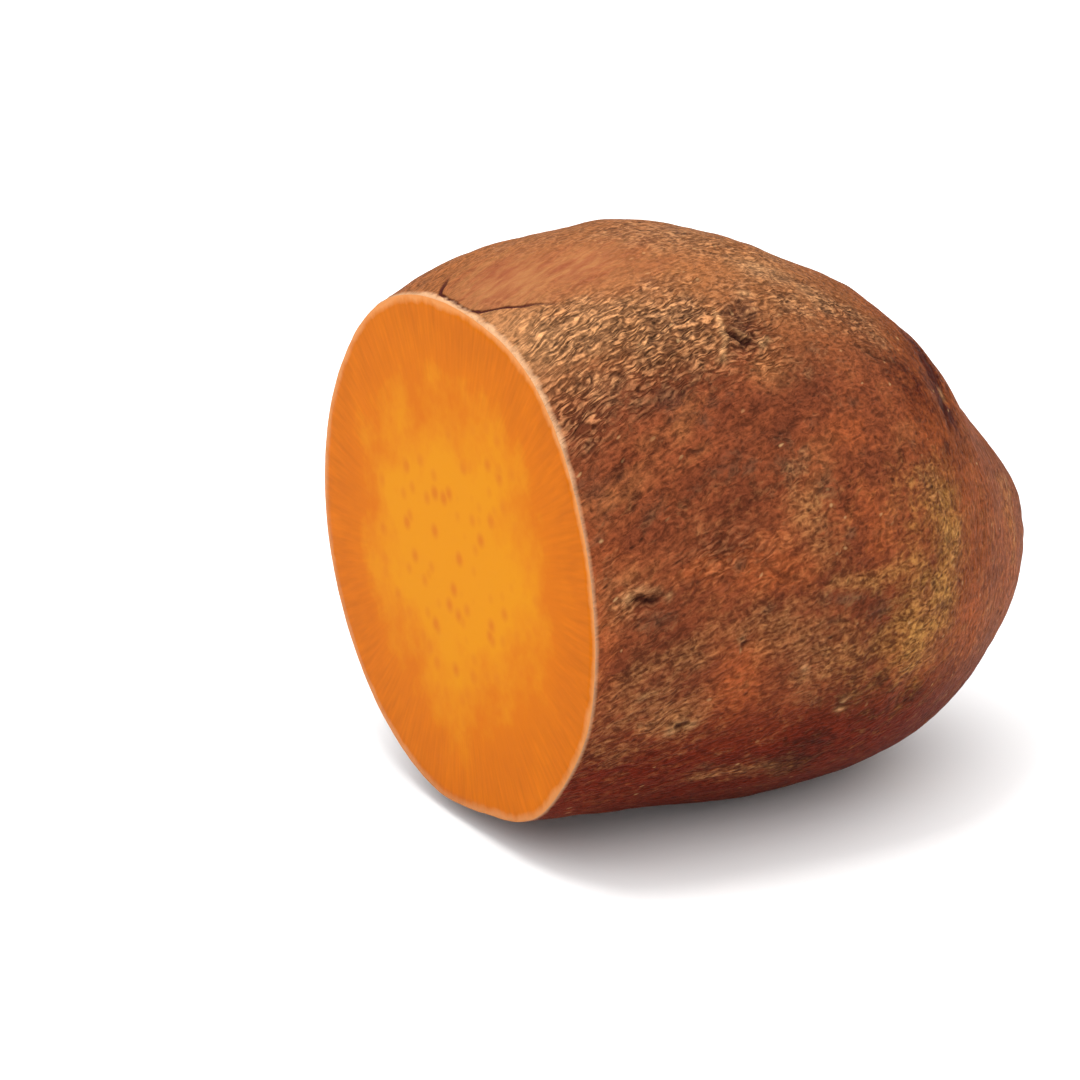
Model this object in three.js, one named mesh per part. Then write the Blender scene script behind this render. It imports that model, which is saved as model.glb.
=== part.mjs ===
import * as THREE from 'three';

// A sweet potato root, cut square across and lying on its belly.
// Millimetres, +Z up. +X runs from the cut face to the root tip, and -Y is the side with the large eye.
// The origin is the middle of the root's box, at the height of the table.

// Driving dimensions
const rootLength = 96.5;       // cut face to root tip, square to the cut
const noseRoundness = 2.6;     // exponent of the curve that closes the tip: 2 is an ellipse
const spineLength = 74;        // from the cut face to the middle of the rounded nose
const bellyFlat = 0.9;         // how much of the round belly is flattened where the root rests
const bellyBlend = 0.25;       // how far the round belly eases into that flat
const bumpThrough = 14;        // how far through the root a bump of the skin is felt

// Cross sections at their distance from the cut face: full width, full height and height of the middle.
const sections = [
  { x: 0, width: 83, height: 77, middle: 41.5 },
  { x: 10, width: 86.5, height: 82, middle: 43.4 },
  { x: 24, width: 89, height: 85.4, middle: 44 },
  { x: 41, width: 90.4, height: 85, middle: 42.4 },
  { x: 56.5, width: 84, height: 77.4, middle: 39.8 },
  { x: 71, width: 65.6, height: 64.4, middle: 36.8 },
  { x: 84, width: 41.6, height: 40.4, middle: 33 },
  { x: 92.5, width: 21.4, height: 20.6, middle: 32.4 },
];

// Broad swellings and hollows of the root. Each is at a distance from the cut face and an angle round
// the root in degrees, 0 on the -Y side and 90 on top, with its reach along and round the root and its
// rise, in millimetres.
const swellings = [
  { x: 0, angle: 57, along: 15, round: 12, rise: 1.5 },     // shoulder of the cut, upper near side
  { x: 0, angle: 124, along: 16, round: 12, rise: 0.7 },
  { x: 0, angle: 8, along: 14, round: 16, rise: -0.9 },
  { x: 0, angle: 324, along: 10, round: 8, rise: -0.7 },
  { x: 0, angle: 281, along: 12, round: 10, rise: -1.4 },   // the cut's flattened lower edge
  { x: 26, angle: 112, along: 5, round: 14, rise: -0.35 },
  { x: 33, angle: 110, along: 7, round: 15, rise: 0.6 },    // step up behind the old scar
  { x: 11, angle: 86, along: 9, round: 9, rise: -0.7 },     // smooth old scar beside the cut
  { x: 45, angle: 300, along: 9, round: 10, rise: -0.3 },
  { x: 65, angle: 90, along: 8, round: 12, rise: 0.4 },
  { x: 72, angle: 68, along: 5, round: 10, rise: 0.5 },
  { x: 79, angle: 64, along: 4.5, round: 10, rise: -1 },     // waist behind the blunt nose
  { x: 91, angle: 52, along: 5, round: 7, rise: 0.4 },
  { x: 28, angle: 200, along: 19, round: 16, rise: 1.1 },
  { x: 56, angle: 165, along: 12, round: 10, rise: -0.9 },
  { x: 68, angle: 222, along: 12, round: 10, rise: 0.8 },
  { x: 84, angle: 185, along: 5, round: 12, rise: -0.6 },
  { x: 96.3, angle: 180, along: 3.5, round: 3.5, rise: 1.2 },    // stub of the root's tail
];

// Eyes: the scars where side roots grew, in six rows along the root. Each is a pit with a raised brow.
const eyes = [
  { x: 32.5, angle: 50, size: 3, depth: 1.5 },
  { x: 68, angle: 47, size: 3.4, depth: 1 },
  { x: 5.5, angle: 7, size: 2.2, depth: 0.7 },
  { x: 24, angle: 352, size: 2.6, depth: 0.8 },
  { x: 45, angle: 352, size: 2.6, depth: 0.9 },
  { x: 12.5, angle: 341, size: 2.2, depth: 0.6 },
  { x: 52, angle: 337, size: 2.4, depth: 0.8 },
  { x: 47, angle: 113, size: 3, depth: 1.1 },
  { x: 72, angle: 118, size: 2.6, depth: 0.8 },
  { x: 14, angle: 166, size: 2.8, depth: 1 },
  { x: 39, angle: 173, size: 3.2, depth: 1.3 },
  { x: 76, angle: 168, size: 2.6, depth: 0.9 },
  { x: 22, angle: 228, size: 3, depth: 1.2 },
  { x: 51, angle: 234, size: 2.8, depth: 1 },
  { x: 9, angle: 292, size: 2.4, depth: 0.7 },
  { x: 61, angle: 288, size: 2.8, depth: 0.9 },
  { x: 83, angle: 278, size: 2.4, depth: 0.7 },
];
const browShift = 1.3;         // pit sizes from the middle of a pit to its brow, towards the cut face
const browShare = 0.45;        // height of a brow as a share of the pit's depth

// Faces: the four sides of each end grid meet the faces round the root.
const gridSide = 24;
const facesRound = 4 * gridSide;
const facesAlong = 42;
const tipGridStart = 0.7;      // share of the way to the tip where the end grid takes over
const gridSquareness = 0.85;   // size of the square middle of an end grid

// The rounding of the nose: 1 at the cut face and 0 at the tip.
function noseFactor(x) {
  return Math.sqrt(Math.max(0, 1 - (x / rootLength) ** noseRoundness));
}

// A smooth curve through one size of the sections, read at a distance from the cut face.
function sectionCurve(sizeOf) {
  const points = sections.map((section) => new THREE.Vector2(section.x, sizeOf(section)));
  points.push(new THREE.Vector2(rootLength, points[points.length - 1].y));
  const curve = new THREE.SplineCurve(points);
  return (x) => {
    let low = 0;
    let high = 1;
    for (let step = 0; step < 30; step += 1) {
      const half = (low + high) / 2;
      if (curve.getPoint(half).x < x) low = half;
      else high = half;
    }
    return curve.getPoint(low).y;
  };
}

const fullWidth = sectionCurve((section) => section.width / noseFactor(section.x));
const fullHeight = sectionCurve((section) => section.height / noseFactor(section.x));
const middleHeight = sectionCurve((section) => section.middle);

// A point of the smooth root. way is 0 at the cut face and 1 at the tip, and angle is 0 on the -Y side
// and a quarter turn on top. Rings at even steps of way lie about evenly over the skin.
function smoothPoint(way, angle) {
  const x = rootLength * Math.sin((way * Math.PI) / 2);
  const nose = noseFactor(x);
  const y = -(fullWidth(x) / 2) * nose * Math.cos(angle);
  const z = middleHeight(x) + (fullHeight(x) / 2) * nose * Math.sin(angle);
  return new THREE.Vector3(x, y, z);
}

// A bump of the skin: its middle, and the directions along, round and out of the root there.
function bump(x, degrees, along, round, rise) {
  const way = (2 / Math.PI) * Math.asin(x / rootLength);
  const angle = THREE.MathUtils.degToRad(degrees);
  const centre = smoothPoint(way, angle);
  const alongWay = smoothPoint(way + 0.001, angle).sub(centre).normalize();
  const roundWay = smoothPoint(way, angle + 0.001).sub(centre).normalize();
  const outWay = alongWay.clone().cross(roundWay).normalize();
  return { centre, alongWay, roundWay, outWay, along, round, rise };
}

const bumps = swellings.map(({ x, angle, along, round, rise }) => bump(x, angle, along, round, rise));
for (const { x, angle, size, depth } of eyes) {
  bumps.push(bump(x, angle, size, size * 1.4, -depth));
  bumps.push(bump(x - browShift * size, angle, size * 0.8, size * 1.5, depth * browShare));
}

// Height of the bumps at a point of the smooth root. Each fades away on all sides.
function relief(point) {
  let height = 0;
  for (const { centre, alongWay, roundWay, outWay, along, round, rise } of bumps) {
    const offset = point.clone().sub(centre);
    const far = Math.hypot(offset.dot(alongWay) / along, offset.dot(roundWay) / round,
      offset.dot(outWay) / bumpThrough);
    if (far < 4) height += rise * Math.exp(-far * far);
  }
  return height;
}

// A point of the skin with its bumps, which stand out from a spine along the middle of the root.
function skinPoint(way, angle) {
  const point = smoothPoint(way, angle);
  const spineX = Math.min(point.x, spineLength);
  const out = point.clone().sub(new THREE.Vector3(spineX, 0, middleHeight(spineX))).normalize();
  return point.addScaledVector(out, relief(point));
}

const points = [];
const faces = [];

function addPoint(point) {
  points.push(point);
  return points.length - 1;
}

function addQuad(a, b, c, d) {
  faces.push(a, b, c, a, c, d);
}

// Rings of skin from the cut rim to the edge of the tip grid.
const rings = [];
for (let along = 0; along <= facesAlong; along += 1) {
  const ring = [];
  for (let round = 0; round < facesRound; round += 1) {
    const angle = (2 * Math.PI * round) / facesRound;
    ring.push(addPoint(skinPoint((tipGridStart * along) / facesAlong, angle)));
  }
  rings.push(ring);
}
for (let along = 0; along < facesAlong; along += 1) {
  for (let round = 0; round < facesRound; round += 1) {
    const next = (round + 1) % facesRound;
    addQuad(rings[along][round], rings[along + 1][round], rings[along + 1][next], rings[along][next]);
  }
}

// A place in a square from -1 to 1, moved to a disc: square in the middle and round at the edge.
function discPlace(u, v) {
  const reach = Math.max(Math.abs(u), Math.abs(v));
  if (reach === 0) return new THREE.Vector2(0, 0);
  const sideways = Math.abs(u) >= Math.abs(v);
  const lean = (Math.PI / 4) * (sideways ? v / u : u / v);
  const round = sideways
    ? new THREE.Vector2(u * Math.cos(lean), u * Math.sin(lean))
    : new THREE.Vector2(v * Math.sin(lean), v * Math.cos(lean));
  return new THREE.Vector2(u, v).multiplyScalar(gridSquareness).lerp(round, reach);
}

// Closes a ring with a grid. pointAt turns a radius from 0 to 1 and an angle into a point.
function closeRing(ring, pointAt, turned) {
  const grid = [];
  for (let row = 0; row <= gridSide; row += 1) {
    const line = [];
    for (let column = 0; column <= gridSide; column += 1) {
      const u = (2 * column) / gridSide - 1;
      const v = (2 * row) / gridSide - 1;
      const place = discPlace(u, v);
      const onRim = Math.max(Math.abs(u), Math.abs(v)) === 1;
      const round = Math.round((place.angle() / (2 * Math.PI)) * facesRound) % facesRound;
      line.push(onRim ? ring[round] : addPoint(pointAt(place.length(), place.angle())));
    }
    grid.push(line);
  }
  for (let row = 0; row < gridSide; row += 1) {
    for (let column = 0; column < gridSide; column += 1) {
      const corners = [grid[row][column], grid[row][column + 1], grid[row + 1][column + 1], grid[row + 1][column]];
      if (turned) corners.reverse();
      // Each face is split along the line that points away from the middle of the grid.
      const rising = (row < gridSide / 2) === (column < gridSide / 2);
      if (rising === turned) corners.push(corners.shift());
      addQuad(...corners);
    }
  }
}

const cutCentre = new THREE.Vector3(0, 0, middleHeight(0));
closeRing(rings[0], (radius, angle) => cutCentre.clone().lerp(skinPoint(0, angle), radius), false);
closeRing(rings[facesAlong], (radius, angle) => skinPoint(1 - (1 - tipGridStart) * radius, angle), true);

// The root rests on a small flat spot: its lowest part is level with the table, and the belly eases
// down to it.
const lowest = Math.min(...points.map((point) => point.z));
for (const point of points) {
  const above = point.z - lowest - bellyFlat;
  if (above < -bellyBlend) point.z = 0;
  else if (above < bellyBlend) point.z = (above + bellyBlend) ** 2 / (4 * bellyBlend);
  else point.z = above;
}

const geometry = new THREE.BufferGeometry().setFromPoints(points);
geometry.setIndex(faces);
geometry.computeBoundingBox();
const middle = geometry.boundingBox.getCenter(new THREE.Vector3());
geometry.translate(-middle.x, -middle.y, -geometry.boundingBox.min.z);

const skin = new THREE.MeshStandardMaterial({ color: 0x96512f, roughness: 0.75, metalness: 0 });
const root = new THREE.Mesh(geometry, skin);
root.name = 'sweet_potato';

const part = new THREE.Group();
part.add(root);
export default part;
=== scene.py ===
import math
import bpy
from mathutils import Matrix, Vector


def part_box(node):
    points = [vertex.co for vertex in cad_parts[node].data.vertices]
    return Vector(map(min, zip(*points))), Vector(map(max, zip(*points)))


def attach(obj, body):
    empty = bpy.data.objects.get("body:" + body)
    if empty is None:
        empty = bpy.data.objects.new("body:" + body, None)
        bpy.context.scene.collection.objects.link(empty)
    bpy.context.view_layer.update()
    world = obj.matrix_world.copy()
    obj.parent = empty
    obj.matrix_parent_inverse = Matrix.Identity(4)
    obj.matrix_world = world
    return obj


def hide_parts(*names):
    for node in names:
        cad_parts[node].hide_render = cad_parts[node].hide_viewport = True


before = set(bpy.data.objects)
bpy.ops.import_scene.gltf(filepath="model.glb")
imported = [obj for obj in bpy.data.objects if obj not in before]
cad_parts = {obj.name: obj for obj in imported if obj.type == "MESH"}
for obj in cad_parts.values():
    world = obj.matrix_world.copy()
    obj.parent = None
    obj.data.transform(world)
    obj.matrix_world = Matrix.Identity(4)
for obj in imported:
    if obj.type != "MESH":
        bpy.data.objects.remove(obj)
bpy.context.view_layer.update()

from types import SimpleNamespace

import bpy
import numpy as np
from mathutils import Vector, noise


# The camera. It looks at the cut end and the long side of the root from a little above, through a
# long lens, so that the root stands in the frame where the photograph has it.
camera_turn = math.radians(-29.3)      # round the root from the -Y side, towards the cut
camera_height = math.radians(19.6)
camera_distance = 0.7
photo_width = 1080
pixels_per_metre = 6910                # at the cut face
cut_face_pixel = (454.2, 574.5)        # where the photograph shows the middle of the cut face
cut_face_height = 0.03865              # of that middle above the table
sensor_width = 36.0

low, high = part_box("sweet_potato")
cut_x = low.x
root_length = high.x - low.x
cut_middle = Vector((cut_x, 0, cut_face_height))

back = Vector((math.sin(camera_turn) * math.cos(camera_height),
               -math.cos(camera_turn) * math.cos(camera_height),
               math.sin(camera_height)))
right = Vector((math.cos(camera_turn), math.sin(camera_turn), 0))
up = back.cross(right)
camera_data = bpy.data.cameras.new("camera")
camera_data.sensor_width = sensor_width
camera_data.lens = pixels_per_metre * camera_distance / photo_width * sensor_width
camera = bpy.data.objects.new("camera", camera_data)
bpy.context.scene.collection.objects.link(camera)
across = (photo_width / 2 - cut_face_pixel[0]) / pixels_per_metre
upward = (cut_face_pixel[1] - photo_width / 2) / pixels_per_metre
camera.location = cut_middle + back * camera_distance + right * across + up * upward
camera.rotation_euler = back.to_track_quat("Z", "Y").to_euler()
bpy.context.scene.camera = camera


# The table. A plain white acrylic top, lit a little from below as for product photographs, and wide
# enough that its edge stays out of the photograph's view.
table_size = 12.0
table_white = "#F4F4F4"
table_roughness = 0.6
table_gloss = 0.2
table_glow = 0.04


def linear(colour):
    """An sRGB hex colour as the linear colour that a shader or a light takes."""
    parts = [int(colour[i:i + 2], 16) / 255 for i in (1, 3, 5)]
    return [p / 12.92 if p <= 0.04045 else ((p + 0.055) / 1.055) ** 2.4 for p in parts] + [1.0]


bpy.ops.object.select_all(action="DESELECT")
bpy.ops.mesh.primitive_plane_add(size=table_size)
table = bpy.context.object
table.name = "table"
acrylic = bpy.data.materials.new("white_acrylic")
acrylic.use_nodes = True
acrylic_shader = acrylic.node_tree.nodes["Principled BSDF"]
acrylic_shader.inputs["Base Color"].default_value = linear(table_white)
acrylic_shader.inputs["Roughness"].default_value = table_roughness
acrylic_shader.inputs["Specular IOR Level"].default_value = table_gloss
acrylic_shader.inputs["Emission Color"].default_value = linear("#FFFFFF")
acrylic_shader.inputs["Emission Strength"].default_value = table_glow
table.data.materials.append(acrylic)


# The light. A very broad soft box close over the root, a small one that draws the wrinkles, a weak one
# above the camera, and a white room.
room_strength = 0.12
root_middle = Vector((0, 0, 0.04))


def soft_box(name, direction, distance, size, watts):
    """A square soft box that shines at the middle of the root."""
    light = bpy.data.lights.new(name, "AREA")
    light.shape = "SQUARE"
    light.size = size
    light.energy = watts
    lamp = bpy.data.objects.new(name, light)
    bpy.context.scene.collection.objects.link(lamp)
    towards = Vector(direction).normalized()
    lamp.location = root_middle + towards * distance
    lamp.rotation_euler = towards.to_track_quat("Z", "Y").to_euler()


soft_box("key_light", direction=(-0.1, 0.0, 1.0), distance=0.7, size=3.0, watts=50.0)
soft_box("small_light", direction=(-0.35, -0.1, 1.0), distance=1.2, size=0.3, watts=4.0)
soft_box("fill_light", direction=(-0.2, -0.9, 0.8), distance=1.6, size=1.6, watts=2.5)

world = bpy.data.worlds.new("white_room")
bpy.context.scene.world = world
world.use_nodes = True
world.node_tree.nodes["Background"].inputs["Color"].default_value = linear("#FFFFFF")
world.node_tree.nodes["Background"].inputs["Strength"].default_value = room_strength
bpy.context.scene.view_settings.view_transform = "Standard"


# The root. One large piece of a cured sweet potato, cut square across with a knife. It starts as a
# merged copy of the frame's solid, in quads, and gets a finer mesh for the relief of its skin.
merge_distance = 1e-6
quad_bend = math.radians(60)           # how far two triangles may bend and skew and still join in a quad
quad_skew = math.radians(179)
skin = bpy.data.materials.new("cured_corky_skin")
flesh = bpy.data.materials.new("raw_orange_flesh")

root = bpy.data.objects.new("sweet_potato_root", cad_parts["sweet_potato"].data.copy())
bpy.context.scene.collection.objects.link(root)
root.data.materials.clear()
root.data.materials.append(skin)
root.data.materials.append(flesh)
bpy.ops.object.select_all(action="DESELECT")
root.select_set(True)
bpy.context.view_layer.objects.active = root
bpy.ops.object.mode_set(mode="EDIT")
bpy.ops.mesh.select_all(action="SELECT")
bpy.ops.mesh.remove_doubles(threshold=merge_distance)
bpy.ops.mesh.tris_convert_to_quads(face_threshold=quad_bend, shape_threshold=quad_skew)
bpy.ops.object.mode_set(mode="OBJECT")

# The cut face is flesh, and its rim stays sharp.
flat_within = 1e-5
faces_at_edge = {}
for face in root.data.polygons:
    on_cut = all(abs(root.data.vertices[v].co.x - cut_x) < flat_within for v in face.vertices)
    face.material_index = 1 if on_cut else 0
    face.use_smooth = True
    for key in face.edge_keys:
        faces_at_edge.setdefault(key, set()).add(on_cut)
crease = root.data.attributes.new("crease_edge", "FLOAT", "EDGE")
for edge in root.data.edges:
    crease.data[edge.index].value = 1.0 if len(faces_at_edge[edge.key]) == 2 else 0.0
smoother = root.modifiers.new("subdivide", "SUBSURF")
smoother.levels = 1
smoother.render_levels = 1
bpy.ops.object.modifier_apply(modifier=smoother.name)

# Places on the skin, in millimetres. A point's place is its distance from the cut along the skin, its
# angle round the root, 0 on the -Y side and a quarter turn on top, and its distance from the middle
# line of the root. The grain of the skin winds a little round the root on its way to the tip.
mm_per_metre = 1000
length = root_length * mm_per_metre
middle_line_at = [0, 30, 65, 97.5]
middle_line_heights = [41, 43.2, 37.4, 31.6]
middle_line = np.polyfit(middle_line_at, middle_line_heights, 3)
belly_radius = 44.0
grain_turn = 0.30                      # mm round the root for each mm along it


def skin_length(distance):
    """The way along the skin to a place at a distance from the cut."""
    return length * np.arcsin(np.clip(distance / length, 0, 1))


def measure():
    """The place of every point of the root."""
    points = np.array([vertex.co for vertex in root.data.vertices]) * mm_per_metre
    from_cut = points[:, 0] - cut_x * mm_per_metre
    above = points[:, 2] - np.polyval(middle_line, from_cut)
    angle = np.arctan2(above, -points[:, 1])
    radius = np.hypot(above, points[:, 1])
    along = skin_length(from_cut)
    spread = (radius + belly_radius) / 2
    wound = angle - grain_turn * along / belly_radius
    unrolled = np.stack([along, spread * np.cos(wound), spread * np.sin(wound)], axis=1)
    return SimpleNamespace(points=points, from_cut=from_cut, angle=angle, radius=radius, along=along,
                           unrolled=unrolled)


def turn_from(place, degrees):
    """The angle from a line along the root to each point, in radians."""
    return (place.angle - math.radians(degrees) + math.pi) % (2 * math.pi) - math.pi


def in_patches(place, patches):
    """How far each point lies in some soft patches, from 0 to a patch's strength. A patch is its
    distance from the cut, its angle in degrees, its reach along and round the root, and its strength."""
    most = np.zeros(len(place.points))
    for distance, degrees, reach_along, reach_round, strength in patches:
        off_along = (place.along - skin_length(distance)) / reach_along
        off_round = turn_from(place, degrees) * place.radius / reach_round
        most = np.maximum(most, strength * np.exp(-off_along ** 2 - off_round ** 2))
    return most


def from_line(place, line):
    """How far each point is from a line on the skin, with a sign for its side, and how far along the
    line it is, from 0 to 1. A line is pairs of a distance from the cut and an angle in degrees."""
    middle = sum(degrees for _, degrees in line) / len(line)
    flat = np.stack([place.along, turn_from(place, middle) * belly_radius], axis=1)
    corners = [np.array([skin_length(distance), math.radians(degrees - middle) * belly_radius])
               for distance, degrees in line]
    nearest = np.full(len(flat), np.inf)
    share = np.zeros(len(flat))
    for index, (start, end) in enumerate(zip(corners, corners[1:])):
        run = end - start
        step = np.clip((flat - start) @ run / (run @ run), 0, 1)
        off = flat - start - step[:, None] * run
        far = np.hypot(off[:, 0], off[:, 1])
        side = run[0] * off[:, 1] - run[1] * off[:, 0]
        closer = far < np.abs(nearest)
        nearest = np.where(closer, np.copysign(far, side), nearest)
        share = np.where(closer, (index + step) / (len(corners) - 1), share)
    return nearest, share


def smooth_step(low_end, high_end, values):
    """A soft step from 0 at one value to 1 at another."""
    share = np.clip((values - low_end) / (high_end - low_end), 0, 1)
    return share * share * (3 - 2 * share)


# Skin that shrank into lengthwise wrinkles: most of all above the near side and beside the cut, and
# less in patches elsewhere.
most_wrinkled = [(8, 62, 8, 9, 1.0), (16, 56, 10, 12, 1.0), (25, 54, 9, 10, 0.95), (4, 47, 6, 9, 0.9),
                 (34, 50, 7, 9, 0.7), (26, 67, 8, 6, 0.6), (12, 42, 9, 5, 0.5), (42, 62, 12, 9, 0.6)]
less_wrinkled = [(5, 6, 7, 5, 0.55), (12, 351, 9, 4, 0.4), (22, 8, 7, 4, 0.35), (30, 4, 6, 3, 0.35),
                 (54, 62, 10, 9, 0.75), (42, 80, 14, 10, 0.6), (57, 19, 5, 7, 0.55), (60, 9, 4, 6, 0.5),
                 (53, 0, 6, 6, 0.5), (20, 11, 14, 6, 0.5), (35, 352, 8, 8, 0.4), (12, 340, 10, 6, 0.45),
                 (26, 320, 10, 5, 0.45), (46, 20, 6, 10, 0.25), (30, 150, 16, 12, 0.8),
                 (60, 200, 12, 14, 0.6), (18, 240, 12, 12, 0.7), (45, 290, 12, 10, 0.5),
                 (70, 120, 9, 10, 0.5)]
# A scar of an old wound on top, smooth and a little sunken, with a crack round its end at the cut.
scar_patches = [(9, 88, 9, 10, 1.0), (17, 82, 9, 8, 0.9), (24, 76, 7, 5, 0.45)]
crack_line = [(13, 71), (9.2, 72), (6.6, 75), (3.8, 79), (1.5, 82), (0.7, 85), (0.7, 89), (0.9, 94),
              (1.2, 99), (2.3, 101), (4.4, 104), (6.6, 106)]
# The most wrinkled skin and the skin close round the crack get a mesh twice as fine.
fine_from = 0.42
fine_round_crack = 2.2                 # mm


def subdivide_where(chosen):
    """Cuts each chosen face of the root in four."""
    bpy.ops.object.mode_set(mode="EDIT")
    bpy.ops.mesh.select_mode(type="FACE")
    bpy.ops.mesh.select_all(action="DESELECT")
    bpy.ops.object.mode_set(mode="OBJECT")
    root.data.polygons.foreach_set("select", chosen)
    bpy.ops.object.mode_set(mode="EDIT")
    bpy.ops.mesh.subdivide(number_cuts=1, smoothness=1.0, ngon=False)
    bpy.ops.object.mode_set(mode="OBJECT")


subdivide_where([face.material_index == 0 for face in root.data.polygons])
place = measure()
is_fine = in_patches(place, most_wrinkled) > fine_from
is_fine |= np.abs(from_line(place, crack_line)[0]) < fine_round_crack
subdivide_where([face.material_index == 0 and bool(is_fine[list(face.vertices)].all())
                 for face in root.data.polygons])
place = measure()

is_flesh = np.zeros(len(place.points), bool)
is_skin = np.zeros(len(place.points), bool)
for face in root.data.polygons:
    (is_flesh if face.material_index else is_skin)[list(face.vertices)] = True
rim = is_flesh & is_skin
place.points[is_flesh, 0] = cut_x * mm_per_metre


# The relief of the skin, with every height and width in millimetres: wrinkles, ripples that turn into
# rings round the tip, the sunken scar with its crack, the eyes with their slits and brows, and creases.
wrinkle_rise = 0.40
fold_level = 0.7                       # how high up a fold, from 0 to 1, the solid's surface lies
fold_bend = 1.1                        # how far noise bends the folds round the root
line_bend = 0.35                       # how far it bends the crack, slits, brows and creases
ripple_rise = 0.10                     # doubled where the skin is wrinkled
swell_rise = 0.22
grain_rise = 0.05
scar_sink = 0.30
crack_depth = 0.30
crack_reach = 0.35
crack_end_along = 14                   # the scar ends at the crack up to here from the cut,
crack_end_round = 12                   # and up to here from the crack
slit_depth = 0.45
slit_reach = 0.5
lip_rise = 0.30
lip_reach = 0.7
lip_off = 1.1                          # how far the raised lip of an eye lies from its slit
brow_rise = 0.26
brow_reach = 0.6
crease_depth = 0.28
crease_reach = 0.5
tip_scar_depth = 0.5
tip_scar_reach = 1.5
tip_rim_rise = 0.25
tip_rim_reach = 0.9
tip_rim_off = 2.6
rim_relief = 0.5                       # the share of the relief that reaches the rim of the cut
eye_slits = [[(29.0, 54), (30.3, 52.2), (31.5, 51), (33.6, 50)],
             [(5.2, 6.2), (6.4, 6.6), (8.2, 5.8), (9.8, 5)], [(21.4, 352.2), (23.2, 354)],
             [(39.0, 338.4), (40.8, 337.6)], [(13.2, 336.6), (15.6, 337.4)],
             [(46.0, 113), (48.5, 111)], [(13.2, 166), (15.4, 164)], [(38, 172), (41, 174)],
             [(21, 227), (23.5, 229)], [(50, 234), (52.5, 233)], [(60, 288), (62.5, 289)]]
brow_lines = [[(29.9, 60.5), (29.5, 56.5), (28.8, 53), (27.8, 50), (26.6, 47.5), (25.7, 45)]]
crease_lines = [[(43, 70), (47.9, 71.2), (51.4, 72), (57, 76)], [(24, 9), (26.6, 7), (29.5, 5), (33.1, 4)],
                [(13.8, 8), (18.4, 11), (21.6, 12.5)], [(39.9, 20), (39.3, 15)],
                [(17, 14), (22, 18), (27, 20.5)], [(34, 62), (34.5, 58), (34, 54)],
                [(50, 53), (54, 50), (60, 49)],
                [(66.2, 32), (65.8, 37), (66.8, 42), (68.8, 46), (69.6, 51)],
                [(69.4, 48), (69.9, 53.5), (69.5, 58), (69.6, 62), (70, 68)]]


def noise_field(places, size_along, size_round, octaves=1, shift=0.0):
    """Smooth noise from about -1 to 1, with features of a given size in millimetres."""
    scaled = places / np.array([size_along, size_round, size_round]) + shift
    return np.array([noise.fractal(p, 1.0, 2.0, octaves) for p in scaled.tolist()])


def folds(places, size_along, size_round, shift):
    """Long rounded ridges with narrow furrows between them, of a given size in millimetres. It is 0
    in a furrow and near 1 on a ridge. The furrows run where smooth noise changes its sign."""
    furrow_share = 0.16
    return 1 - np.exp(-np.abs(noise_field(places, size_along, size_round, shift=shift)) / furrow_share)


def hump(off, middle, reach):
    """A soft ridge of height 1 at a distance from a line."""
    return np.exp(-((off - middle) / reach) ** 2)


def follow(lines, wandering, soft_end):
    """For each line, how far the points are from it as it wanders, and its strength, which fades out
    over a share of its length at both ends."""
    for line in lines:
        off, share = from_line(place, line)
        fade = smooth_step(0.0, soft_end, share) * smooth_step(1.0, 1 - soft_end, share)
        yield off + wandering * line_wander, fade


wrinkled = in_patches(place, most_wrinkled + less_wrinkled)
scarred = in_patches(place, scar_patches)
nose = smooth_step(50, 70, place.from_cut)
line_wander = line_bend * noise_field(place.unrolled, 2.2, 2.2, octaves=2, shift=17.0)

# The crack fades out at both ends, and the scar stops at it.
crack, crack_share = from_line(place, crack_line)
crack = crack + line_wander
crack_fade = smooth_step(0.0, 0.25, crack_share) * smooth_step(1.0, 0.8, crack_share)
on_scar_side = smooth_step(-0.2, 0.5, -crack)
at_crack = (np.abs(crack) < crack_end_round) & (place.from_cut < crack_end_along)
scarred = scarred * np.where(at_crack, on_scar_side, 1.0)

wander = fold_bend * noise_field(place.unrolled, 7, 4, octaves=2, shift=31.0)
tangent = np.stack([np.zeros(len(wander)), -np.sin(place.angle), np.cos(place.angle)], axis=1)
warped = place.unrolled + tangent * wander[:, None]
ridges = 0.5 * folds(warped, 4.2, 1.35, shift=5.3) + 0.5 * folds(warped, 6.0, 2.1, shift=9.1)
wrinkle_depth = smooth_step(0.12, 0.9, wrinkled) * (1 - 0.9 * smooth_step(0.2, 0.7, scarred))
height = wrinkle_rise * (ridges - fold_level) * wrinkle_depth
long_ripples = noise_field(warped, 9, 2.6, octaves=2, shift=5.0)
ring_ripples = noise_field(place.points, 2.4, 8, octaves=2, shift=9.0)
ripples = long_ripples * (1 - nose) + ring_ripples * nose
height += (ripple_rise + ripple_rise * wrinkled) * ripples * (1 - scarred)
height += swell_rise * noise_field(place.unrolled, 16, 10, octaves=2, shift=2.0)
height += grain_rise * noise_field(place.points, 2.0, 2.0, shift=4.0)
height -= scar_sink * scarred
height -= crack_depth * hump(crack, 0, crack_reach) * crack_fade

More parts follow.
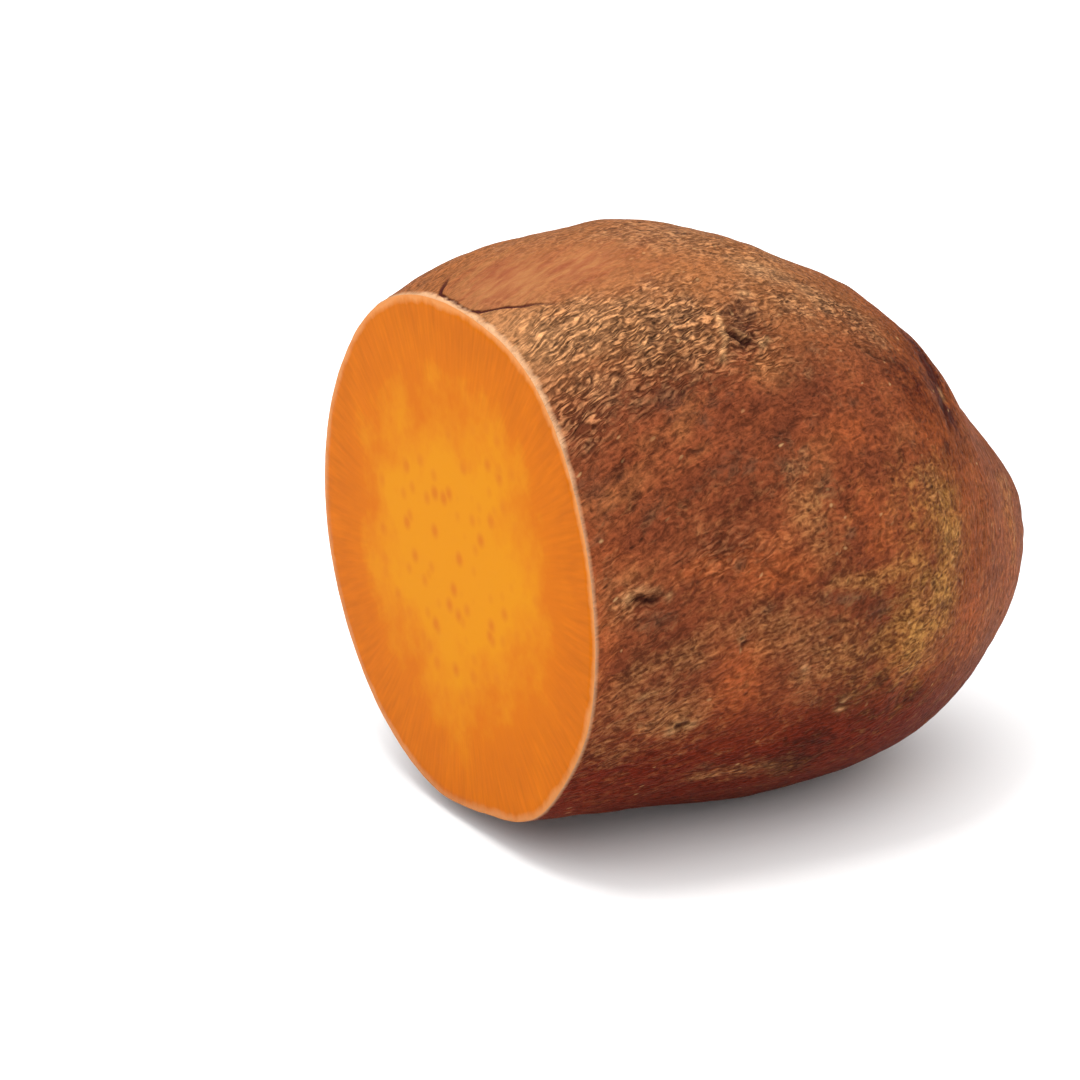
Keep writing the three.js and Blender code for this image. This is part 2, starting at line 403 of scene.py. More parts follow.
slit = np.zeros(len(height))
pale = np.zeros(len(height))
for off, fade in follow(eye_slits, 1, 0.3):
    lip = lip_rise * hump(off, lip_off, lip_reach)
    height += (lip - slit_depth * hump(off, 0, slit_reach)) * fade
    slit = np.maximum(slit, hump(off, 0, 0.55) * fade)
    pale = np.maximum(pale, 0.5 * hump(off, lip_off, 0.4) * fade)
for off, fade in follow(brow_lines, 2, 0.2):
    height += brow_rise * hump(off, 0, brow_reach) * fade
    pale = np.maximum(pale, 0.8 * hump(off, 0, 0.5) * fade)
for off, fade in follow(crease_lines, 2, 0.3):
    height -= crease_depth * hump(off, 0, crease_reach) * fade
    slit = np.maximum(slit, 0.55 * hump(off, 0, 0.45) * fade)

# The root's tip ends in a small corky scar with a rim, where the thin root broke off.
tip = place.points[np.argmax(place.from_cut)]
off_tip = np.linalg.norm(place.points - tip, axis=1)
height += tip_rim_rise * hump(off_tip, tip_rim_off, tip_rim_reach)
height -= tip_scar_depth * hump(off_tip, 0, tip_scar_reach)
slit = np.maximum(slit, 0.6 * hump(off_tip, 0, 1.2))

# The skin moves straight out of the surface, but never below the table. At the cut it slides within
# the plane of the cut.
normals = np.array([vertex.normal for vertex in root.data.vertices])
normals[rim, 0] = 0
normals[rim] /= np.linalg.norm(normals[rim], axis=1)[:, None]
height[is_flesh & ~rim] = 0
height[rim] *= rim_relief
moved = place.points + normals * height[:, None]
moved[:, 2] = np.maximum(moved[:, 2], 0)
moved[:, 0] = np.maximum(moved[:, 0], cut_x * mm_per_metre)
root.data.vertices.foreach_set("co", (moved / mm_per_metre).ravel())
root.data.update()


# Marks of colour on the skin: khaki scurf, redder and greyer skin, darker skin that is partly painted
# shade, paler skin that is partly painted highlight, and skin that the knife frayed. In most lists the
# last rows are the far side, the underside and the tip.
scurf_patches = [(44, 71, 7, 4, 1.2), (50, 65, 4, 5, 0.95), (57, 0, 4, 7, 1.25), (50, 356, 5, 6, 0.8),
                 (51, 352, 6, 7, 1.2), (58, 14, 6, 9, 1.0), (46, 350, 5, 4, 0.7), (30, 354, 7, 5, 0.75),
                 (36, 349, 9, 7, 0.65), (23, 357, 6, 4, 0.6), (41, 344, 6, 5, 0.5), (14, 353, 4, 4, 0.55),
                 (8, 344, 8, 8, 0.6), (13, 339, 6, 5, 0.75), (6, 334, 8, 5, 0.5), (28, 319, 9, 3, 0.5),
                 (53, 20, 6, 8, 0.4), (33, 17, 4, 8, 0.6), (10, 62, 10, 9, 0.9), (22, 58, 12, 10, 0.95),
                 (8, 48, 7, 6, 0.55), (34, 62, 10, 9, 0.6), (34, 90, 14, 12, 1.0), (20, 100, 12, 9, 0.6),
                 (50, 82, 9, 10, 0.7), (46, 72, 8, 4, 0.8), (44, 60, 8, 7, 0.62), (22, 82, 6, 4, 0.4),
                 (56, 62, 9, 8, 0.65), (4, 8, 4, 4, 0.4), (40, 44, 6, 5, 0.3), (82, 20, 5, 8, 0.5),
                 (30, 140, 14, 9, 0.8), (55, 195, 8, 13, 0.8), (20, 215, 9, 7, 0.7), (66, 300, 6, 10, 0.7),
                 (36, 270, 11, 8, 0.7), (75, 92, 5, 9, 0.6), (80, 230, 5, 7, 0.7), (10, 270, 6, 9, 0.6),
                 (8, 120, 6, 9, 0.5), (88, 110, 5, 6, 0.75), (84, 175, 6, 5, 0.8), (90, 300, 4, 7, 0.7),
                 (92, 60, 3, 5, 0.5), (74, 135, 6, 6, 0.6)]
# Scurf also follows lines: a width in millimetres, a strength, and the line.
scurf_bands = [(3.2, 1.0, [(57, 24), (58, 20), (60, 17), (61, 13), (60, 9), (59, 6), (56, 3), (55, -1),
                           (55, -4), (54, -8), (51, -9), (48, -10), (45, -12)]),
               (2.4, 0.8, [(48, 9), (53, 5), (50, 1), (51, -5)]),
               (2.6, 0.65, [(37, 24), (34, 18), (32, 16), (33, 13), (34, 11), (35, 8), (35, 3)]),
               (1.5, 0.85, [(34, 4.5), (38, 3.2), (43, 3.2), (47, 5), (51, 7.5)]),
               (1.3, 0.7, [(19, 318), (24, 318), (29, 320), (34, 320)]),
               (2.2, 0.7, [(86, 40), (85, 27), (84, 12), (82, -5)]),
               (3.0, 0.8, [(60, 150), (64, 165), (62, 185), (64, 205)]),
               (2.4, 0.7, [(30, 235), (36, 245), (48, 246), (56, 258)])]
red_patches = [(22, 345, 6, 9, 1.0), (26, 7, 10, 4.5, 1.0), (16, 9, 6, 3, 0.8), (66, 352, 8, 10, 0.9),
               (82, 0, 12, 14, 1.0), (1, 4, 3, 20, 0.7), (44, 32, 8, 5, 0.6), (36, 74, 6, 5, 0.6),
               (47, 333, 8, 4, 0.6), (60, 36, 8, 7, 0.7), (30, 330, 8, 5, 0.6), (28, 12, 8, 4, 0.6),
               (44, 14, 5, 8, 0.7), (3, 14, 4, 8, 0.6),
               (50, 170, 12, 8, 0.8), (20, 180, 9, 9, 0.7), (40, 240, 12, 8, 0.7), (20, 300, 9, 6, 0.6)]
grey_patches = [(17, 41, 3.5, 3, 0.8), (3, 28, 3, 5, 0.6), (22, 27, 4, 3, 0.6), (31, 26, 5, 4, 0.6),
                (10, 22, 4, 5, 0.5), (3, 12, 3, 5, 0.5), (38, 0.5, 5, 1.6, 0.9), (44, 358, 4, 3, 0.8),
                (42, 36, 5, 3, 0.4), (9, 2, 4, 2.5, 0.7), (36, 21, 3, 3, 0.8), (35, 13, 2, 3, 0.6),
                (46, 343, 3, 2, 0.7), (14, 348, 5, 2.5, 0.4), (34, 342, 5, 2, 0.4),
                (60, 160, 5, 6, 0.8), (34, 205, 5, 5, 0.8), (12, 195, 4, 6, 0.7), (50, 262, 6, 5, 0.8),
                (86, 75, 4, 5, 0.7), (82, 145, 4, 6, 0.7), (88, 235, 4, 5, 0.7), (84, 320, 4, 4, 0.5)]
# Darker patches: partly darker skin, partly painted shade in hollows, under the eyes and on the low side.
dark_skin_and_shade_patches = [(46, 336, 9, 7, 0.6), (38, 49, 8, 7, 0.25), (50, 62, 8, 8, 0.2), (60, 44, 8, 9, 0.72),
                (65, 50, 6, 7, 0.6), (9, 30, 10, 9, 0.5), (43, 340, 7, 5, 0.6), (20, 42, 12, 5, 0.5),
                (36, 321, 8, 5, 1.0), (38, 328, 6, 4, 0.9), (67.4, 43, 3.4, 6, 1.1), (60, 34, 6, 3, 0.5),
                (31.4, 51.4, 3.4, 2.4, 1.0), (34, 57, 5, 5, 0.8), (68.6, 57, 4.2, 8, 1.15),
                (7.5, 5.6, 3.5, 1.8, 0.7), (46, 343, 3, 2, 0.8), (54, 336, 5, 2.5, 0.8),
                (23, 322, 4, 1.6, 0.7), (14, 337, 2.5, 1.2, 0.8), (43, 359, 2, 1.6, 0.7),
                (41, 337, 2, 1.5, 0.6), (63, 31, 2, 2, 0.8), (52, 27, 2, 2, 0.7),
                (47, 112, 3, 3, 0.8), (14, 165, 3, 3, 0.8), (39.5, 173, 3, 3, 0.9), (22, 228, 3, 3, 0.8),
                (51, 234, 3, 3, 0.8), (61, 288, 3, 3, 0.7), (80, 105, 4, 6, 0.5), (86, 195, 4, 6, 0.6),
                (78, 270, 5, 7, 0.6)]
# Pale spots: pale cork specks, and by the cut's upper edge broad patches of painted highlight.
pale_and_highlight_spots = [(44, 73, 6, 3.5, 0.4), (49, 67, 4, 4, 0.3), (2, 68, 6, 11, 0.5), (12, 62, 8, 6, 0.25),
              (34.6, 50, 0.6, 0.8, 1.0), (35.6, 50.8, 0.5, 0.6, 0.9), (36.4, 63, 1.2, 0.6, 0.9),
              (5.0, 7.2, 0.9, 0.7, 1.0), (32.3, 347, 0.6, 0.7, 0.9), (13.0, 335.6, 0.8, 0.6, 0.9),
              (16.2, 336.6, 0.7, 0.6, 0.8), (68.9, 48, 0.8, 0.9, 0.9), (40, 336.6, 0.9, 0.5, 0.8),
              (10.6, 5.6, 0.5, 0.5, 0.7)]
frayed_patches = [(0.4, 92, 3, 12, 1.0), (0.4, 72, 3, 14, 1.0), (0.4, 56, 3, 8, 0.8), (0.4, 40, 3, 6, 0.5),
                  (0.4, 150, 3, 14, 0.8), (0.4, 210, 3, 10, 0.6)]

scurf = in_patches(place, scurf_patches)
for width, strength, line in scurf_bands:
    for off, fade in follow([line], 0, 0.15):
        scurf = np.maximum(scurf, strength * fade * hump(off, 0, width))

# Skin that faces up is painted lighter and tanner as painted light from above, less so at the tip.
# Skin that faces down is painted dark red as painted shade on the underside, and scurf is yellower
# on the low side towards the tip. How far a point faces up is the height of its normal, 1 at the top
# and -1 at the bottom.
facing_up = normals[:, 2]
low_side = smooth_step(0.62, 0.35, facing_up)

# How deep in the flesh a point of the cut face is: its distance from the nearest skin.
rim_places = moved[rim][:, 1:]
depth = np.zeros(len(moved))
for index in np.flatnonzero(is_flesh & ~rim):
    depth[index] = np.linalg.norm(rim_places - moved[index, 1:], axis=1).min()

# What the materials read at each point of the root.
readings = {
    "unrolled": place.unrolled,
    "from_cut": place.from_cut,
    "depth": depth,
    "nose": nose,
    "top": smooth_step(0.66, 0.95, facing_up) * (1 - 0.6 * nose),
    "belly": smooth_step(-0.22, -0.60, facing_up),
    "low_side": low_side,
    "yellower": low_side * (0.3 + 0.7 * smooth_step(30, 54, place.from_cut)),
    "wrinkled": wrinkle_depth,
    "scarred": scarred,
    "crack": crack,
    "crack_fade": crack_fade,
    "slit": slit,
    "pale": np.maximum(pale, in_patches(place, pale_and_highlight_spots)),
    "scurf": scurf,
    "redder": in_patches(place, red_patches),
    "greyer": in_patches(place, grey_patches),
    "darker": in_patches(place, dark_skin_and_shade_patches),
    "frayed": in_patches(place, frayed_patches),
}
for name, values in readings.items():
    is_vector = values.ndim == 2
    attribute = root.data.attributes.new(name, "FLOAT_VECTOR" if is_vector else "FLOAT", "POINT")
    attribute.data.foreach_set("vector" if is_vector else "value", values.astype(np.float32).ravel())


# The skin's material. Cured sweet potato skin is a corky layer a few tenths of a millimetre thick,
# matt and copper brown. It is finely wrinkled, khaki where the cork has scurfed, and dark in the
# furrows and pores.
def add_node(tree, kind, inputs=None, stops=None, **settings):
    """Adds a node with its settings. An input is a value, a colour, or the node or output that feeds
    it. The stops are a colour ramp's places and colours."""
    node = tree.nodes.new("ShaderNode" + kind)
    for name, value in settings.items():
        setattr(node, name, value)
    for name, value in (inputs or {}).items():
        if isinstance(value, bpy.types.Node):
            value = next(output for output in value.outputs if output.enabled)
        if isinstance(value, bpy.types.NodeSocket):
            tree.links.new(value, node.inputs[name])
        else:
            node.inputs[name].default_value = linear(value) if isinstance(value, str) else value
    if stops:
        elements = node.color_ramp.elements
        while len(elements) < len(stops):
            elements.new(0.5)
        for element, (position, colour) in zip(elements, stops):
            element.position = position
            element.color = linear(colour)
    return node


def per_mm(size_along, size_round):
    """The scale that gives a pattern features of a size in millimetres along and round the root."""
    return (1 / size_along, 1 / size_round, 1 / size_round)


# The sockets of a Mix node: its factor, its two numbers, its two colours, and the colour it gives.
FACTOR, FIRST, SECOND, UNDER, OVER = 0, 2, 3, 6, 7
MIXED_COLOUR = 2

skin.use_nodes = True
tree = skin.node_tree
skin_shader = tree.nodes["Principled BSDF"]
mask = {name: add_node(tree, "Attribute", attribute_name=name).outputs["Fac"]
        for name in readings if name not in ("unrolled", "depth")}
unrolled = add_node(tree, "Attribute", attribute_name="unrolled").outputs["Vector"]
solid = add_node(tree, "VectorMath", {0: add_node(tree, "TexCoord").outputs["Object"],
                                      "Scale": mm_per_metre}, operation="SCALE")

# Short wormy strokes that follow the root and turn into rings at its tip. Both are bent out of line,
# by up to half the wander.
stroke_width = 0.50
stroke_length = 1.3
stroke_wander = 1.6
bend_size = (2.6, 2.2)
bends = add_node(tree, "TexNoise", {
    "Vector": add_node(tree, "Mapping", {"Vector": unrolled, "Scale": per_mm(*bend_size)}),
    "Scale": 1.0, "Detail": 1.5})
bend = add_node(tree, "VectorMath", {0: bends.outputs["Color"], 1: (0.5, 0.5, 0.5)}, operation="SUBTRACT")
bend = add_node(tree, "VectorMath", {0: bend, "Scale": stroke_wander}, operation="SCALE")
bent = add_node(tree, "VectorMath", {0: unrolled, 1: bend})
bent_solid = add_node(tree, "VectorMath", {0: solid, 1: bend})
long_strokes, ring_strokes = [
    add_node(tree, "TexNoise", {"Vector": add_node(tree, "Mapping", {"Vector": vector, "Scale": scale}),
                                "Scale": 1.0, "Detail": 1.5, "Roughness": 0.5})
    for vector, scale in ((bent, per_mm(stroke_length, stroke_width)),
                          (bent_solid, per_mm(stroke_width, stroke_length)))]
strokes = add_node(tree, "Mix", {FACTOR: mask["nose"], FIRST: long_strokes, SECOND: ring_strokes})
# Mottles, in every direction.
mottle_size = 0.9
mottle_share = 0.55
mottles = add_node(tree, "TexNoise", {"Vector": bent_solid, "Scale": 1 / mottle_size, "Detail": 3.0,
                                      "Roughness": 0.7})
texture = add_node(tree, "Mix", {FACTOR: mottle_share, FIRST: strokes, SECOND: mottles})

# Pores: dark dots about 0.6 mm across, some of them fainter than others, drawn a little coarser than
# real ones so that they show.
pore_apart = (1.6, 1.2)
pore_cells = add_node(tree, "TexVoronoi", {
    "Vector": add_node(tree, "Mapping", {"Vector": bent, "Scale": per_mm(*pore_apart)}), "Scale": 1.0})
pore = add_node(tree, "MapRange", {"Value": pore_cells.outputs["Distance"], "From Min": 0.34,
                                   "From Max": 0.10})
pore_strength = add_node(tree, "MapRange", {"Value": pore_cells.outputs["Color"], "From Min": 0.35,
                                            "From Max": 0.75})
pore = add_node(tree, "Math", {0: pore, 1: pore_strength}, operation="MULTIPLY")
# Stains 2 to 3 mm across.
stain_apart = (7.0, 5.0)
stain_cells = add_node(tree, "TexVoronoi", {
    "Vector": add_node(tree, "Mapping", {"Vector": bent, "Location": (1.3, 0.4, 2.2),
                                         "Scale": per_mm(*stain_apart)}), "Scale": 1.0})
stain = add_node(tree, "MapRange", {"Value": stain_cells.outputs["Distance"], "From Min": 0.36,
                                    "From Max": 0.05, "To Max": 0.75})
# Pale specks of cork about 0.6 mm across, in about a quarter of the places where one could be.
speck_apart = (2.8, 2.2)
speck_cells = add_node(tree, "TexVoronoi", {
    "Vector": add_node(tree, "Mapping", {"Vector": bent, "Location": (3.1, 1.7, 0.6),
                                         "Scale": per_mm(*speck_apart)}), "Scale": 1.0})
speck = add_node(tree, "MapRange", {"Value": speck_cells.outputs["Distance"], "From Min": 0.17,
                                    "From Max": 0.06})
speck_strength = add_node(tree, "MapRange", {"Value": speck_cells.outputs["Color"], "From Min": 0.66,
                                             "From Max": 0.8})
speck = add_node(tree, "Math", {0: speck, 1: speck_strength}, operation="MULTIPLY")

# Wrinkles with thin furrows between: the furrows run where noise passes its middle.
wrinkle_size = (2.9, 0.85)
wrinkle_noise = add_node(tree, "TexNoise", {
    "Vector": add_node(tree, "Mapping", {"Vector": bent, "Scale": per_mm(*wrinkle_size)}),
    "Scale": 1.0, "Detail": 1.5, "Roughness": 0.5})
furrow = add_node(tree, "Math", {0: wrinkle_noise, 1: 0.5}, operation="SUBTRACT")
furrow = add_node(tree, "Math", {0: furrow}, operation="ABSOLUTE")
fine_ridge = add_node(tree, "MapRange", {"Value": furrow, "From Min": 0.0, "From Max": 0.17},
                      interpolation_type="SMOOTHSTEP")
# Broad patches of plain colour, from brown to copper.
broad_size = (15, 9)
plain_browns = [(0.32, "#562917"), (0.45, "#69331D"), (0.57, "#793D22"), (0.70, "#884E2C")]
broad = add_node(tree, "TexNoise", {
    "Vector": add_node(tree, "Mapping", {"Vector": unrolled, "Scale": per_mm(*broad_size)}),
    "Scale": 1.0, "Detail": 4.0, "Roughness": 0.6})
plain = add_node(tree, "ValToRGB", {"Fac": broad}, stops=plain_browns)

# Patches have ragged edges: each mask is broken up by noise from this size down to 0.1 mm.
ragged_size = (3.8, 2.6)
raggedness = 2.4
ragged = add_node(tree, "TexNoise", {
    "Vector": add_node(tree, "Mapping", {"Vector": bent, "Scale": per_mm(*ragged_size)}),
    "Scale": 1.0, "Detail": 5.0, "Roughness": 0.75})


def ragged_mask(tree, soft, sharpness=0.6, level=0.3):
    """A soft mask made ragged. It grows from 0 where the mask and the noise together pass the level."""
    total = add_node(tree, "Math", {0: ragged, 1: raggedness, 2: soft}, operation="MULTIPLY_ADD")
    start = level + raggedness / 2
    return add_node(tree, "MapRange", {"Value": total, "From Min": start, "From Max": start + sharpness})


# Coats of colour over the plain skin, each over the last: redder skin, grey stains, the copper tip,
# the top painted lighter and tanner as painted light, the belly painted dark red as painted shade, and
# darker patches, partly darker skin and partly painted shade in hollows and under the eyes.
grey_soft = add_node(tree, "Math", {0: mask["greyer"], 1: stain}, operation="MAXIMUM")
nose_share = add_node(tree, "Math", {0: mask["nose"], 1: 0.42}, operation="MULTIPLY")
painted_top_light_share = add_node(tree, "Math", {0: mask["top"], 1: 0.65}, operation="MULTIPLY")
painted_belly_shade_share = add_node(tree, "Math", {0: mask["belly"], 1: 0.88}, operation="MULTIPLY")
colour = plain
for cover, coat in ((ragged_mask(tree, mask["redder"]), "#8D4624"),
                    (ragged_mask(tree, grey_soft, 1.0), "#4B3628"),
                    (nose_share, "#884416"),
                    (painted_top_light_share, "#925C32"),
                    (painted_belly_shade_share, "#591404"),
                    (ragged_mask(tree, mask["darker"]), "#42160A")):
    colour = add_node(tree, "Mix", {FACTOR: cover, UNDER: colour, OVER: coat}, data_type="RGBA")

# Scurf: a khaki bloom of loose cork. On the low side it is a soft veil, and yellower towards the tip.
khaki = [(0.38, "#5A3823"), (0.50, "#815436"), (0.62, "#9C6E47")]
yellow_khaki = [(0.38, "#6C4523"), (0.50, "#916330"), (0.62, "#A67A3C")]
scurf_tone = add_node(tree, "ValToRGB", {"Fac": texture}, stops=khaki)
yellow_scurf = add_node(tree, "ValToRGB", {"Fac": texture}, stops=yellow_khaki)
scurf_tone = add_node(tree, "Mix", {FACTOR: mask["yellower"], UNDER: scurf_tone, OVER: yellow_scurf},
                      data_type="RGBA")
scurf_cover = add_node(tree, "Mix", {FACTOR: mask["low_side"], FIRST: ragged_mask(tree, mask["scurf"], 0.8),
                                     SECOND: ragged_mask(tree, mask["scurf"], 1.5, 0.05)})
colour = add_node(tree, "Mix", {FACTOR: scurf_cover, UNDER: colour, OVER: scurf_tone}, data_type="RGBA")

# The eyes have pale corky lips, the skin by the cut's upper edge is painted pale as a painted highlight,
# and the tops of the wrinkles are painted pale, partly paler cork and partly painted highlight.
pale_and_highlight_share = add_node(tree, "Math", {0: mask["pale"], 1: 0.8}, operation="MULTIPLY")
colour = add_node(tree, "Mix", {FACTOR: pale_and_highlight_share, UNDER: colour, OVER: "#BC8A5C"}, data_type="RGBA")
ridge_top = add_node(tree, "Math", {0: fine_ridge, 1: mask["wrinkled"]}, operation="MULTIPLY")
ridge_highlight_share = add_node(tree, "Math", {0: ridge_top, 1: 0.3}, operation="MULTIPLY")
colour = add_node(tree, "Mix", {FACTOR: ridge_highlight_share, UNDER: colour, OVER: "#B8875A"}, data_type="RGBA")

# The strokes darken and lighten the skin, and the wrinkles do so more: painted shade in the furrows and
# painted highlight on the ridges. The pores are dark. Even smooth skin has a trace of this painted shading.
least_wrinkled = 0.14
stroke_tone = add_node(tree, "MapRange", {"Value": texture, "From Min": 0.40, "From Max": 0.60,
                                          "To Min": 0.62, "To Max": 1.38})
creased = add_node(tree, "Math", {0: mask["wrinkled"], 1: least_wrinkled}, operation="MAXIMUM")
ridge_shade_and_highlight_tone = add_node(tree, "MapRange", {"Value": fine_ridge, "To Min": -0.54, "To Max": 0.40})
ridge_shade_and_highlight_tone = add_node(tree, "Math", {0: ridge_shade_and_highlight_tone, 1: creased, 2: 1.0}, operation="MULTIPLY_ADD")
tone = add_node(tree, "Math", {0: stroke_tone, 1: ridge_shade_and_highlight_tone}, operation="MULTIPLY")
pore_share = add_node(tree, "MapRange", {"Value": scurf_cover, "To Min": 0.42, "To Max": 0.62})
pore_share = add_node(tree, "Math", {0: pore_share, 1: pore}, operation="MULTIPLY")
pore_tone = add_node(tree, "Math", {0: 1.0, 1: pore_share}, operation="SUBTRACT")
tone = add_node(tree, "Math", {0: tone, 1: pore_tone}, operation="MULTIPLY")
colour = add_node(tree, "VectorMath", {0: colour, "Scale": tone}, operation="SCALE")

# The scar is smooth copper skin, streaked with red.
scar_streak_size = (7, 1.6)
scar_coppers = [(0.34, "#85462A"), (0.5, "#905633"), (0.66, "#9A643B")]
streaks = add_node(tree, "TexNoise", {
    "Vector": add_node(tree, "Mapping", {"Vector": bent, "Scale": per_mm(*scar_streak_size)}),
    "Scale": 1.0, "Detail": 3.0})
scar_tone = add_node(tree, "ValToRGB", {"Fac": streaks}, stops=scar_coppers)
# The crack is painted as a dark line about 0.7 mm wide with soft edges: painted shade inside the crack.
crack_off = add_node(tree, "Math", {0: mask["crack"]}, operation="ABSOLUTE")
crack_mask = add_node(tree, "MapRange", {"Value": crack_off, "From Min": 0.48, "From Max": 0.2})
crack_mask = add_node(tree, "Math", {0: crack_mask, 1: mask["crack_fade"]}, operation="MULTIPLY")
# The knife left the edge of the skin pale, and frayed it up to about 1 mm wide where the mask says so.
# The pale edge is partly a painted highlight where the rim of the skin catches the light.
edge_noise_size = 2.4
edge_noise = add_node(tree, "TexNoise", {"Vector": solid, "Scale": 1 / edge_noise_size, "Detail": 3.0})
edge_width = add_node(tree, "MapRange", {"Value": edge_noise, "From Min": 0.40, "From Max": 0.66,
                                         "To Min": 0.3, "To Max": 1.0})
edge_width = add_node(tree, "Math", {0: edge_width, 1: mask["frayed"], 2: 0.1}, operation="MULTIPLY_ADD")
edge_gap = add_node(tree, "Math", {0: edge_width, 1: mask["from_cut"]}, operation="SUBTRACT")
pale_edge_and_highlight_mask = add_node(tree, "MapRange", {"Value": edge_gap, "From Min": -0.45, "From Max": 0.35,
                                        "To Max": 0.9})

# These lie over all the rest: specks of cork, slits and creases painted nearly black inside, partly dark
# tissue and partly painted shade, the scar, the crack with its painted shade, and the pale edge at the cut
# with its painted highlight.
speck_share = add_node(tree, "Math", {0: speck, 1: 0.75}, operation="MULTIPLY")
dark_slit_and_shade_share = add_node(tree, "Math", {0: mask["slit"], 1: 0.95}, operation="MULTIPLY")
for cover, coat in ((speck_share, "#B58A5C"), (dark_slit_and_shade_share, "#260D08"), (mask["scarred"], scar_tone),
                    (crack_mask, "#40150F"), (pale_edge_and_highlight_mask, "#CFA078")):
    colour = add_node(tree, "Mix", {FACTOR: cover, UNDER: colour, OVER: coat}, data_type="RGBA")
tree.links.new(colour.outputs[MIXED_COLOUR], skin_shader.inputs["Base Color"])

# Relief too fine for the mesh, in millimetres: strokes and mottles about 0.1 high, pores, furrows and
# the crack. The scar has less of all but the crack.
texture_rise = 0.6                     # from the least to the most that the texture could be
pore_depth = 0.1
furrow_depth = 0.25
fine_crack_depth = 0.25
fine_height = add_node(tree, "Math", {0: texture, 1: texture_rise}, operation="MULTIPLY")
fine_height = add_node(tree, "Math", {0: pore, 1: -pore_depth, 2: fine_height}, operation="MULTIPLY_ADD")
fine_height = add_node(tree, "Math", {0: ridge_top, 1: furrow_depth, 2: fine_height},
                       operation="MULTIPLY_ADD")
not_scarred = add_node(tree, "MapRange", {"Value": mask["scarred"], "To Min": 1.0, "To Max": 0.3})
fine_height = add_node(tree, "Math", {0: fine_height, 1: not_scarred}, operation="MULTIPLY")
fine_height = add_node(tree, "Math", {0: crack_mask, 1: -fine_crack_depth, 2: fine_height},
                       operation="MULTIPLY_ADD")
bump = add_node(tree, "Bump", {"Height": fine_height, "Distance": 1 / mm_per_metre, "Strength": 1.0})
tree.links.new(bump.outputs["Normal"], skin_shader.inputs["Normal"])

# Cork is matt, a little less so on top of the strokes, and has next to no gloss.
skin_gloss = 0.04
roughness = add_node(tree, "MapRange", {"Value": strokes, "From Min": 0.3, "From Max": 0.7,
                                        "To Min": 0.70, "To Max": 0.55})
tree.links.new(roughness.outputs[0], skin_shader.inputs["Roughness"])
skin_shader.inputs["Specular IOR Level"].default_value = skin_gloss


# The flesh's material. Raw flesh, firm and moist, cut clean by a knife. It is orange, paler in a
# thin band under the skin, streaked outwards near the rim, and yellower, clouded and dotted inside.
flesh.use_nodes = True
tree = flesh.node_tree
flesh_shader = tree.nodes["Principled BSDF"]
depth_in = add_node(tree, "Attribute", attribute_name="depth").outputs["Fac"]
solid = add_node(tree, "VectorMath", {0: add_node(tree, "TexCoord").outputs["Object"],
                                      "Scale": mm_per_metre}, operation="SCALE")

# Clouds, deeper orange near the rim and yellower from about 12 mm inside it. They shift the change of
# colour in or out by up to the cloud shift.
cloud_size = 9
cloud_shift_most = 7.0
flesh_oranges = [(0.0, "#B85F06"), (0.45, "#BE6404"), (0.75, "#C57408"), (1.0, "#C97F09")]
clouds = add_node(tree, "TexNoise", {"Vector": solid, "Scale": 1 / cloud_size, "Detail": 4.0,
                                     "Roughness": 0.6})
cloud_shift = add_node(tree, "MapRange", {"Value": clouds, "From Min": 0.3, "From Max": 0.7,
                                          "To Min": -cloud_shift_most, "To Max": cloud_shift_most})
inward = add_node(tree, "Math", {0: depth_in, 1: cloud_shift}, operation="ADD")
inward = add_node(tree, "MapRange", {"Value": inward, "From Min": 1.0, "From Max": 25.0})
colour = add_node(tree, "ValToRGB", {"Fac": inward}, stops=flesh_oranges)

# Fine streaks that run outwards, in the outer 15 mm, at their strongest in the outer 5 mm.
flesh_middle = (cut_x * mm_per_metre, 0.0, 40.5)
flesh_radius = 42
streak_width = 0.8
streak_length = 6
rays_round = flesh_radius / streak_width
from_middle = add_node(tree, "VectorMath", {0: solid, 1: flesh_middle}, operation="SUBTRACT")
outwards = add_node(tree, "VectorMath", {0: from_middle}, operation="NORMALIZE")
far_out = add_node(tree, "Math", {0: depth_in, 1: 1 / streak_length}, operation="MULTIPLY")
far_out = add_node(tree, "CombineXYZ", {"X": far_out})
rays = add_node(tree, "VectorMath", {0: outwards, 1: (0.0, rays_round, rays_round), 2: far_out},
                operation="MULTIPLY_ADD")
streaks = add_node(tree, "TexNoise", {"Vector": rays, "Scale": 1.0, "Detail": 2.0})
streak_share = add_node(tree, "MapRange", {"Value": depth_in, "From Min": 15.0, "From Max": 5.0,
                                           "To Min": 0.0, "To Max": 0.5})
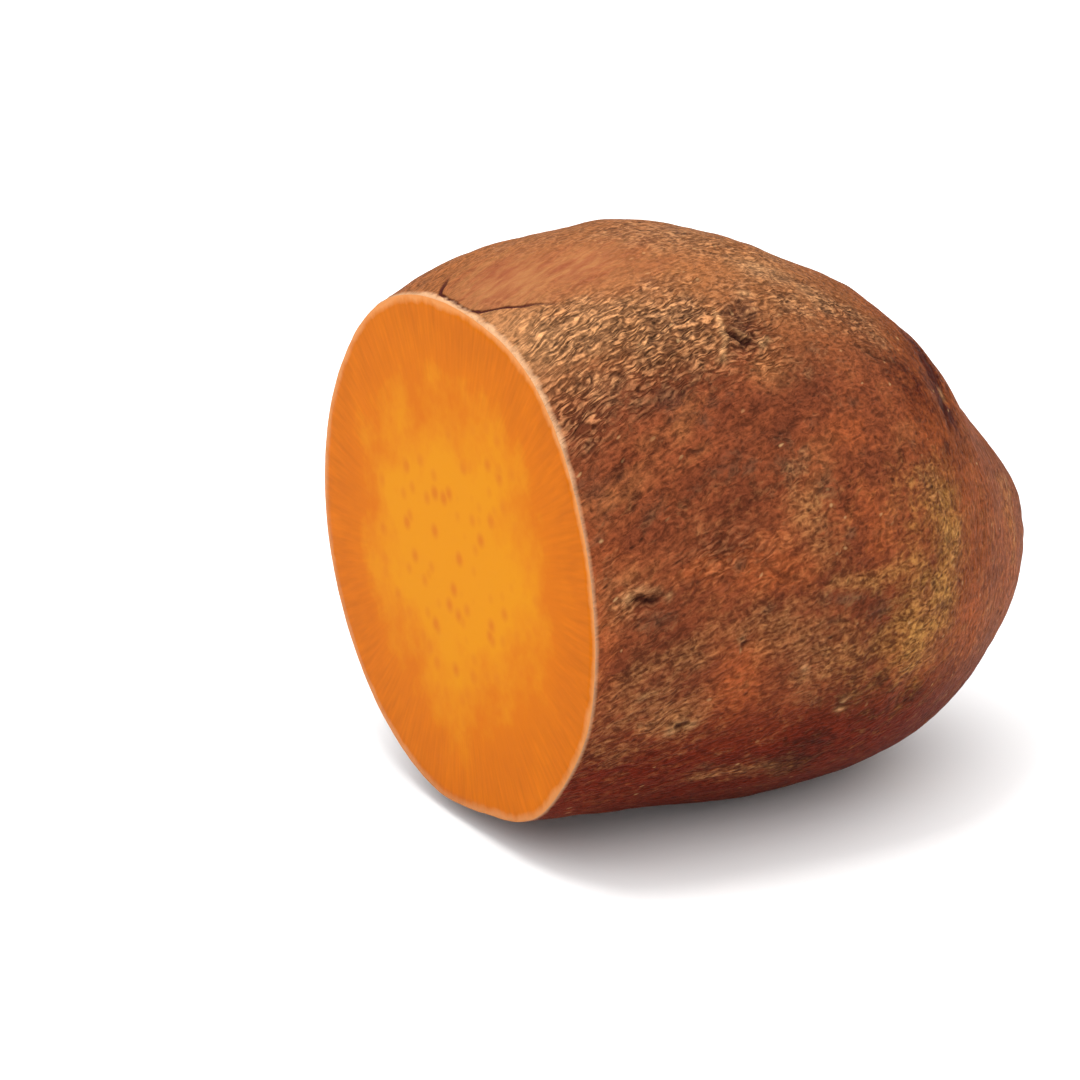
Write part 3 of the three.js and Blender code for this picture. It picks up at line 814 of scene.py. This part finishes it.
streak_tone = add_node(tree, "Mix", {FACTOR: streak_share, FIRST: 0.5, SECOND: streaks})
streak_tone = add_node(tree, "MapRange", {"Value": streak_tone, "From Min": 0.3, "From Max": 0.7,
                                          "To Min": 0.82, "To Max": 1.18})

# Fibre bundles cut across: deeper orange dots 1 to 2 mm across, in the middle.
dots_apart = 3.6
dots = add_node(tree, "TexVoronoi", {"Vector": solid, "Scale": 1 / dots_apart, "Randomness": 1.0})
dot_mask = add_node(tree, "MapRange", {"Value": dots.outputs["Distance"], "From Min": 0.42,
                                       "From Max": 0.12})
dot_share = add_node(tree, "MapRange", {"Value": inward, "From Min": 0.6, "From Max": 1.0,
                                        "To Min": 0.0, "To Max": 0.65})
dot_mask = add_node(tree, "Math", {0: dot_mask, 1: dot_share}, operation="MULTIPLY")
colour = add_node(tree, "Mix", {FACTOR: dot_mask, UNDER: colour, OVER: "#B85C10"}, data_type="RGBA")
colour = add_node(tree, "VectorMath", {0: colour, "Scale": streak_tone}, operation="SCALE")

# The pale band under the skin, about 0.8 mm wide, soft on its inner side and uneven.
band_noise_size = 2.5
band_noise = add_node(tree, "TexNoise", {"Vector": solid, "Scale": 1 / band_noise_size, "Detail": 3.0})
band_depth = add_node(tree, "MapRange", {"Value": band_noise, "From Min": 0.3, "From Max": 0.7,
                                         "To Min": 0.35, "To Max": -0.35})
band_depth = add_node(tree, "Math", {0: depth_in, 1: band_depth}, operation="ADD")
band = add_node(tree, "MapRange", {"Value": band_depth, "From Min": 1.3, "From Max": 0.3,
                                   "To Min": 0.0, "To Max": 0.65})
colour = add_node(tree, "Mix", {FACTOR: band, UNDER: colour, OVER: "#D0905A"}, data_type="RGBA")
tree.links.new(colour.outputs[MIXED_COLOUR], flesh_shader.inputs["Base Color"])

flesh_roughness = 0.45
flesh_gloss = 0.02
flesh_shader.inputs["Roughness"].default_value = flesh_roughness
flesh_shader.inputs["Specular IOR Level"].default_value = flesh_gloss

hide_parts("sweet_potato")
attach(root, "root")
